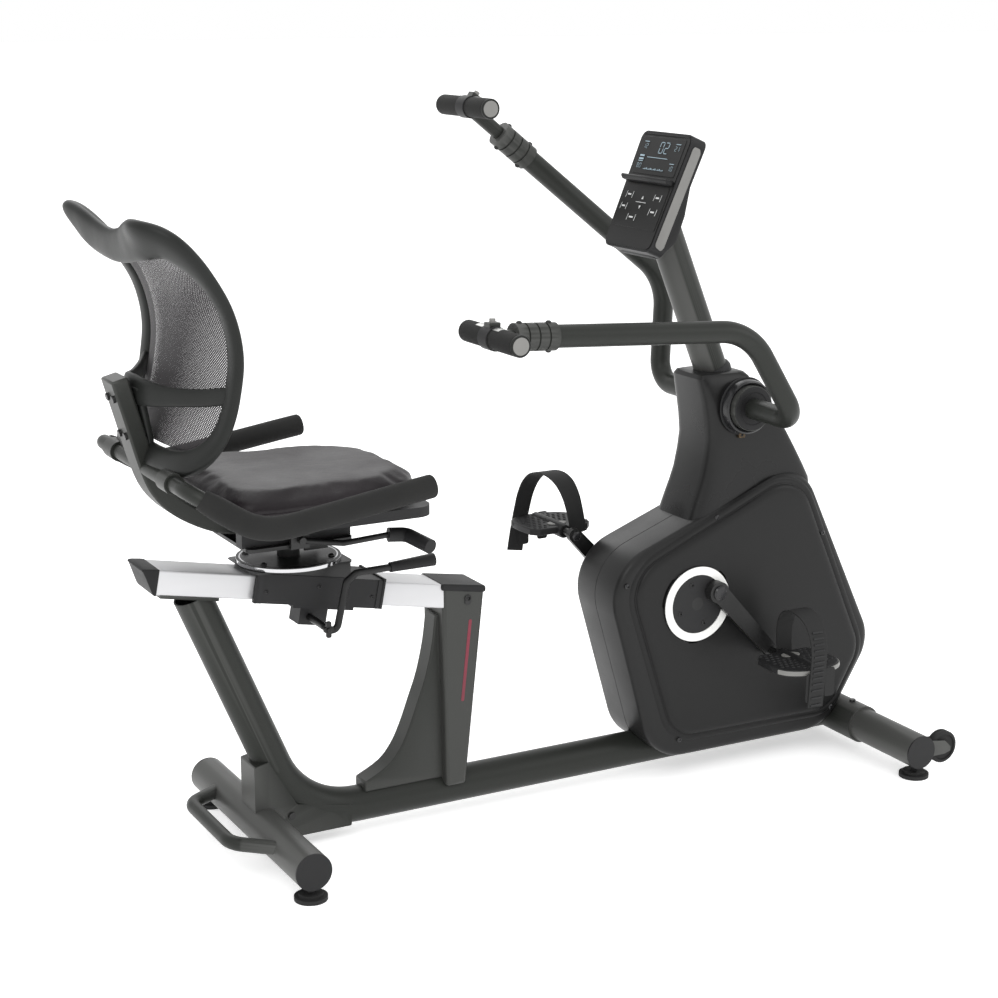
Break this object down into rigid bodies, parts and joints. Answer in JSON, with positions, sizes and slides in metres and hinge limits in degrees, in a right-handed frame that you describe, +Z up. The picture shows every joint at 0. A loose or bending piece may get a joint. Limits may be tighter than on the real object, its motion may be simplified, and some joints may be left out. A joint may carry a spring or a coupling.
{
  "type": "recumbent exercise bike",
  "caption": "Recumbent exercise bike with a swivelling mesh-backed seat on a sloped rail, two swinging arms with sliding T-handles, and a console on a leaning mast.",
  "frame": {"origin": "on the floor under the middle of the bike's overall box", "axes": "+X forward (the way the rider faces), +Y to the rider's left, +Z up"},
  "size_m": [1.564, 0.63, 1.2472],
  "materials": {
    "frame_graphite": "satin powder coat",
    "rail_aluminium": "brushed, anodised",
    "black_plastic": "fine moulded texture",
    "gloss_black": "polished",
    "casing_plastic": "fine moulded texture",
    "white_plastic": "smooth",
    "black_steel": "satin black",
    "steel": "zinc plated",
    "chrome": "polished",
    "foam_rubber": "fine closed-cell foam",
    "vinyl": "grained vinyl",
    "mesh_fabric": "open woven mesh",
    "display_glass": "clear, dark backed",
    "cast_iron": "as cast, painted",
    "belt_rubber": "ribbed rubber"
  },
  "bodies": {
    "frame": {"main_frame": "frame_graphite", "front_upright": "frame_graphite", "upright_cap": "black_plastic", "rear_stabiliser": "frame_graphite", "front_stabiliser": "frame_graphite", "stabiliser_caps": "black_plastic", "levelling_feet": "black_plastic", "carry_handle": "frame_graphite", "frame_bolts": "steel", "seat_rail": "rail_aluminium", "rail_cap": "black_plastic", "inner_frame": "black_steel", "bearings": "steel", "casing_right": "casing_plastic", "casing_left": "casing_plastic", "neck_shroud_right": "casing_plastic", "neck_shroud_left": "casing_plastic", "mast": "frame_graphite", "console_housing": "black_plastic", "display_lens": "display_glass", "keypad": "gloss_black", "drive_belt": "belt_rubber", "wheel_brackets": "frame_graphite"},
    "carriage": {"seat_carriage": "black_plastic", "swivel_base": "black_steel", "index_ring": "chrome"},
    "lock_lever_body": {"lock_lever": "black_steel", "lock_grip": "black_plastic"},
    "seat": {"seat_post": "black_steel", "seat_pan": "black_plastic", "seat_cushion": "vinyl", "back_bracket": "frame_graphite", "back_bolts": "steel", "backrest_frame": "black_plastic", "backrest_mesh": "mesh_fabric", "armrest_tube": "frame_graphite", "armrest_grips": "foam_rubber"},
    "release_lever_body": {"release_lever": "black_steel", "release_grip": "black_plastic"},
    "crank": {"crank_shaft": "steel", "crank_discs": "black_plastic", "disc_rings": "white_plastic", "crank_arms": "black_steel", "drive_pulley": "black_plastic"},
    "flywheel_body": {"flywheel": "cast_iron"},
    "pedal_body_right": {"pedal_right": "black_plastic", "strap_right": "black_plastic"},
    "arm_body_right": {"arm_right": "frame_graphite"},
    "handle_body_right": {"t_handle_right": "frame_graphite", "t_grips_right": "foam_rubber"},
    "button_body_right": {"handle_button_right": "casing_plastic"},
    "wheel_body_right": {"wheel_right": "black_plastic"},
    "pedal_body_left": {"pedal_left": "black_plastic", "strap_left": "black_plastic"},
    "arm_body_left": {"arm_left": "frame_graphite"},
    "handle_body_left": {"t_handle_left": "frame_graphite", "t_grips_left": "foam_rubber"},
    "button_body_left": {"handle_button_left": "casing_plastic"},
    "wheel_body_left": {"wheel_left": "black_plastic"}
  },
  "joints": [
    {"name": "seat_slide", "type": "slide", "parent": "frame", "child": "carriage", "axis": [0.9828, 0, -0.1848], "range_m": [-0.095, 0.11]},
    {"name": "lock_lever_tilt", "type": "hinge", "parent": "carriage", "child": "lock_lever_body", "pos_m": [-0.418, 0, 0.404], "axis": [0, -1, 0], "range_deg": [0, 12], "stiffness_Nm_per_rad": 4, "springref_deg": -6.02},
    {"name": "seat_swivel", "type": "hinge", "parent": "carriage", "child": "seat", "pos_m": [-0.445, 0, 0.503], "axis": [0, 0, 1], "range_deg": [-45, 45]},
    {"name": "release_lever_tilt", "type": "hinge", "parent": "seat", "child": "release_lever_body", "pos_m": [-0.461, -0.09, 0.56], "axis": [0, -1, 0], "range_deg": [0, 6], "stiffness_Nm_per_rad": 2, "springref_deg": -6.02},
    {"name": "crank_spin", "type": "hinge", "parent": "frame", "child": "crank", "pos_m": [0.317, 0, 0.337], "axis": [0, 1, 0], "continuous": true},
    {"name": "flywheel_spin", "type": "hinge", "parent": "frame", "child": "flywheel_body", "pos_m": [0.547, 0, 0.24], "axis": [0, 1, 0], "continuous": true},
    {"name": "pedal_right_spin", "type": "hinge", "parent": "crank", "child": "pedal_body_right", "pos_m": [0.47157, -0.19, 0.23022], "axis": [0, 1, 0], "continuous": true},
    {"name": "pedal_left_spin", "type": "hinge", "parent": "crank", "child": "pedal_body_left", "pos_m": [0.16243, 0.19, 0.44378], "axis": [0, 1, 0], "continuous": true},
    {"name": "arm_right_swing", "type": "hinge", "parent": "frame", "child": "arm_body_right", "pos_m": [0.422, -0.15, 0.69], "axis": [0, 1, 0], "range_deg": [0, 35]},
    {"name": "arm_left_swing", "type": "hinge", "parent": "frame", "child": "arm_body_left", "pos_m": [0.422, 0.15, 0.69], "axis": [0, 1, 0], "range_deg": [-35, 0]},
    {"name": "handle_right_slide", "type": "slide", "parent": "arm_body_right", "child": "handle_body_right", "axis": [-0.9984, 0, 0.0558], "range_m": [0, 0.06]},
    {"name": "handle_left_slide", "type": "slide", "parent": "arm_body_left", "child": "handle_body_left", "axis": [-0.7859, 0, 0.6184], "range_m": [-0.04, 0.02]},
    {"name": "button_right_press", "type": "slide", "parent": "handle_body_right", "child": "button_body_right", "axis": [0, 0, -1], "range_m": [0, 0.0018], "stiffness_N_per_m": 300, "springref_m": -0.002},
    {"name": "button_left_press", "type": "slide", "parent": "handle_body_left", "child": "button_body_left", "axis": [-0.5736, 0, -0.8192], "range_m": [0, 0.0018], "stiffness_N_per_m": 300, "springref_m": -0.002},
    {"name": "wheel_right_spin", "type": "hinge", "parent": "frame", "child": "wheel_body_right", "pos_m": [0.751, -0.264, 0.045], "axis": [0, 1, 0], "continuous": true},
    {"name": "wheel_left_spin", "type": "hinge", "parent": "frame", "child": "wheel_body_left", "pos_m": [0.751, 0.264, 0.045], "axis": [0, 1, 0], "continuous": true}
  ],
  "couplings": [
    {"joint": "arm_right_swing", "follows": "arm_left_swing", "ratio": -1},
    {"joint": "crank_spin", "follows": "flywheel_spin", "ratio": 0.125}
  ]
}
